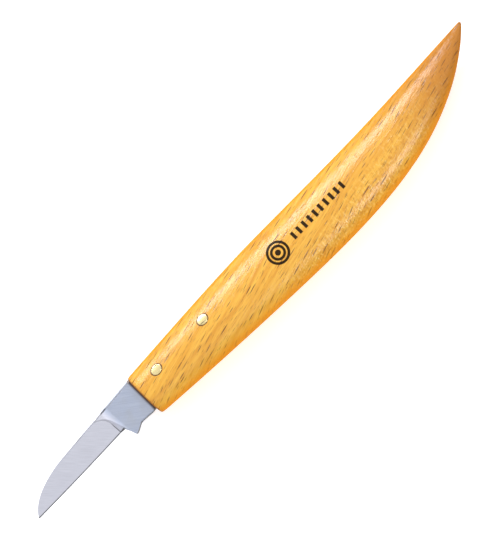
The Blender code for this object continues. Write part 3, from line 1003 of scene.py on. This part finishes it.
def steel_finish():
    finish, tree, shader = new_finish("ground_steel")
    centre = place(GRIND_END, 0)
    ground_scratches = noise(tree, bench(tree, centre, GROUND_TURN), GROUND_CELL, roughness=0.6)
    dull_scratches = noise(tree, bench(tree, centre, RICASSO_TURN), RICASSO_CELL, roughness=0.65)
    stains = noise(tree, bench(tree, centre), STAIN_CELL)
    ahead = split(tree, bench(tree, centre))["X"]
    ricasso = fade(tree, ahead, *RICASSO_FADE)
    normal = facing(tree)
    # painted shade: narrow faces that turn away from the spine's side are darkened
    off_spine = fade(tree, normal["Y"], 0.5, 0.1)
    narrow_shade = calc(tree, "MULTIPLY", fade(tree, calc(tree, "ABSOLUTE", normal["Z"]), 0.8, 0.5), off_spine)

    bright = blend(tree, fade(tree, ground_scratches, 0.3, 0.7), *GROUND_COLOURS)
    dull = blend(tree, fade(tree, dull_scratches, 0.3, 0.7), *RICASSO_COLOURS)
    dull = blend(tree, calc(tree, "MULTIPLY", fade(tree, stains, 0.45, 0.75), 0.35), dull, STAIN_COLOUR)
    colour = blend(tree, ricasso, bright, dull)
    colour = blend(tree, narrow_shade, colour, NARROW_SHADE_COLOUR)
    # painted shade lines along the edge, the spine's rounding and the end of the ground face
    colour = blend(tree, shade_lines(tree, normal, ahead), colour, SHADE_LINE_COLOUR)
    # painted shadow in the corner against the handle
    tree.links.new(blend(tree, corner_shadow(tree), colour, CORNER_SHADOW_COLOUR), shader.inputs["Base Color"])

    scratches = add(
        tree, "ShaderNodeMix", {0: ricasso, 2: ground_scratches, 3: dull_scratches}, data_type="FLOAT"
    ).outputs[0]
    shoulder = calc(tree, "MULTIPLY_ADD", band(tree, ahead, *ROUGH_SHOULDER), 0.26, 0.24)
    tree.links.new(calc(tree, "MULTIPLY_ADD", scratches, 0.22, shoulder), shader.inputs["Roughness"])
    bump = add(tree, "ShaderNodeBump", {"Height": scratches, "Strength": 0.35, "Distance": SCRATCH_RELIEF})
    tree.links.new(bump.outputs[0], shader.inputs["Normal"])
    shader.inputs["Metallic"].default_value = 1.0
    return finish


steel = steel_finish()
print("steel nodes:", len(steel.node_tree.nodes))

# %% [markdown]
# ## Brass
#
# The pin heads were filed with the wood and then polished, so they are bright and pale, with a trace of the
# file and a little tarnish.

# %% Brass
FILING_TURN = 15
FILING_CELL, TARNISH_CELL = (2.5, 0.05, 2.5), (0.8, 0.8, 0.8)
BRASS_COLOURS = ((1.0, 0.87, 0.50, 1), (0.95, 0.77, 0.36, 1))
TARNISH_COLOUR = (0.68, 0.46, 0.16, 1)
FILING_RELIEF = 0.01 * mm


def brass_finish():
    finish, tree, shader = new_finish("dressed_brass")
    filing = noise(tree, bench(tree, HANDLE_CENTRE, FILING_TURN), FILING_CELL, detail=2.0)
    tarnish = noise(tree, bench(tree, HANDLE_CENTRE), TARNISH_CELL)
    colour = blend(tree, fade(tree, filing, 0.3, 0.7), *BRASS_COLOURS)
    colour = blend(tree, calc(tree, "MULTIPLY", fade(tree, tarnish, 0.5, 0.8), 0.4), colour, TARNISH_COLOUR)
    tree.links.new(colour, shader.inputs["Base Color"])
    tree.links.new(calc(tree, "MULTIPLY_ADD", filing, 0.14, 0.14), shader.inputs["Roughness"])
    bump = add(tree, "ShaderNodeBump", {"Height": filing, "Strength": 0.2, "Distance": FILING_RELIEF})
    tree.links.new(bump.outputs[0], shader.inputs["Normal"])
    shader.inputs["Metallic"].default_value = 1.0
    return finish


brass = brass_finish()
print("brass nodes:", len(brass.node_tree.nodes))

# %% [markdown]
# ## Hand the pieces to the frame
#
# Every piece takes its finish, rides on the body that carries it, and hides the imported node it stands for.

# %% Finish, ride and replace
for piece, node, finish, slot in (
    (handle, "handle", beech, "beech"),
    (blade, "blade", steel, "steel"),
    (pins[0], "front_pin", brass, "brass"),
    (pins[1], "rear_pin", brass, "brass"),
):
    piece.data.materials.clear()
    piece.data.materials.append(finish)
    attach(piece, "root")
    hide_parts(node)
    print(piece.name, "stands for", node)

# %% [markdown]
# ## The table, the lights and the camera
#
# A pale table and two soft boxes are all that a small bright tool needs.  The stronger box stands on the
# spine's side and draws one long highlight along the handle's shoulder; the weaker one faces it and draws the
# second highlight near the belly.  The sky fills in from above.  It is dark at middle height, where the
# handle's sides would mirror it, so their colour stays deep, and white again at the horizon behind the table.

# %% Table
TABLE_SIZE = 6.0
TABLE_GAP = 0.05 * mm       # keeps the table just clear of the knife
TABLE_GLOW = 0.38           # a little light of its own, so the table stays pale to its far edge
HAZE_CELL = (90, 90, 90)
TABLE_COLOURS = ((0.94, 0.94, 0.94, 1), (0.97, 0.97, 0.97, 1))


def table_finish():
    finish, tree, shader = new_finish("pale_table")
    haze = noise(tree, bench(tree), HAZE_CELL, detail=2.0)
    tree.links.new(blend(tree, haze, *TABLE_COLOURS), shader.inputs["Base Color"])
    shader.inputs["Roughness"].default_value = 0.9
    shader.inputs["Specular IOR Level"].default_value = 0.1
    shader.inputs["Emission Color"].default_value = (1, 1, 1, 1)
    shader.inputs["Emission Strength"].default_value = TABLE_GLOW
    return finish


bpy.ops.mesh.primitive_plane_add(size=TABLE_SIZE, location=(0, 0, cad_low[2] - TABLE_GAP))
table = name_it("table")
settle(table)
table.data.materials.append(table_finish())
print("table side in m:", TABLE_SIZE)

# %% Lights
KNIFE = place(FRONT + 30 * mm, -2 * mm)
BOX_DISTANCE = 0.75


def soft_box(name, side, lean, size, watts):
    """A soft box that leans from the upright towards the spine (+) or the belly (-) and faces the knife."""
    lean = math.radians(lean)
    away = Vector((side, math.sin(lean), math.cos(lean))).normalized()
    bpy.ops.object.light_add(type="AREA", location=KNIFE + BOX_DISTANCE * away)
    lamp = name_it(name)
    lamp.rotation_euler = away.to_track_quat("Z", "Y").to_euler()
    lamp.data.shape = "RECTANGLE"
    lamp.data.size, lamp.data.size_y = size
    lamp.data.energy = watts
    print(name, "at", [round(value, 2) for value in lamp.location])


soft_box("spine_box", 0.17, 46, (0.62, 0.20), 3.9)
soft_box("belly_box", 0.24, -55, (0.28, 0.14), 1.2)

# %% Sky
SKY_DIM, SKY_OVERHEAD, SKY_HORIZON = 0.13, 0.69, 1.0

sky = bpy.data.worlds.new("sky")
bpy.context.scene.world = sky
sky.use_nodes = True
heading = add(sky.node_tree, "ShaderNodeTexCoord").outputs["Generated"]
height = split(sky.node_tree, heading)["Z"]
overhead = fade(sky.node_tree, height, 0.15, 0.55)
horizon = fade(sky.node_tree, height, 0.12, 0.06)
glow = calc(sky.node_tree, "MULTIPLY_ADD", overhead, SKY_OVERHEAD, SKY_DIM)
glow = calc(sky.node_tree, "MULTIPLY_ADD", horizon, SKY_HORIZON, glow)
background = sky.node_tree.nodes["Background"]
sky.node_tree.links.new(glow, background.inputs["Strength"])
background.inputs["Color"].default_value = (1.0, 1.0, 1.0, 1)
bpy.context.scene.view_settings.view_transform = "Standard"
print("sky from", SKY_DIM, "to", SKY_DIM + SKY_HORIZON)

# %% Camera
AXIS_ANGLE = math.radians(49.63)   # the knife's axis over the picture's lower edge
ROLL = math.radians(10)            # the camera stands a little to the belly's side
PICTURE_CENTRE = place(84.5 * mm, -0.14 * mm)
PICTURE_HEIGHT = 142.5 * mm
LENS = 200.0
SENSOR = 36.0

along_knife = Vector((1, 0, 0))
to_camera = Vector((0, -math.sin(ROLL), math.cos(ROLL)))
across_knife = to_camera.cross(along_knife)
right = math.cos(AXIS_ANGLE) * along_knife - math.sin(AXIS_ANGLE) * across_knife
up = math.sin(AXIS_ANGLE) * along_knife + math.cos(AXIS_ANGLE) * across_knife
distance = LENS / SENSOR * PICTURE_HEIGHT
bpy.ops.object.camera_add(location=PICTURE_CENTRE + distance * to_camera)
camera = name_it("camera")
camera.rotation_euler = Matrix((right, up, to_camera)).transposed().to_euler()
camera.data.lens = LENS
camera.data.sensor_width = SENSOR
camera.data.clip_start = 0.01
camera.data.clip_end = 20.0
bpy.context.scene.camera = camera
print("camera at", [round(value, 3) for value in camera.location])
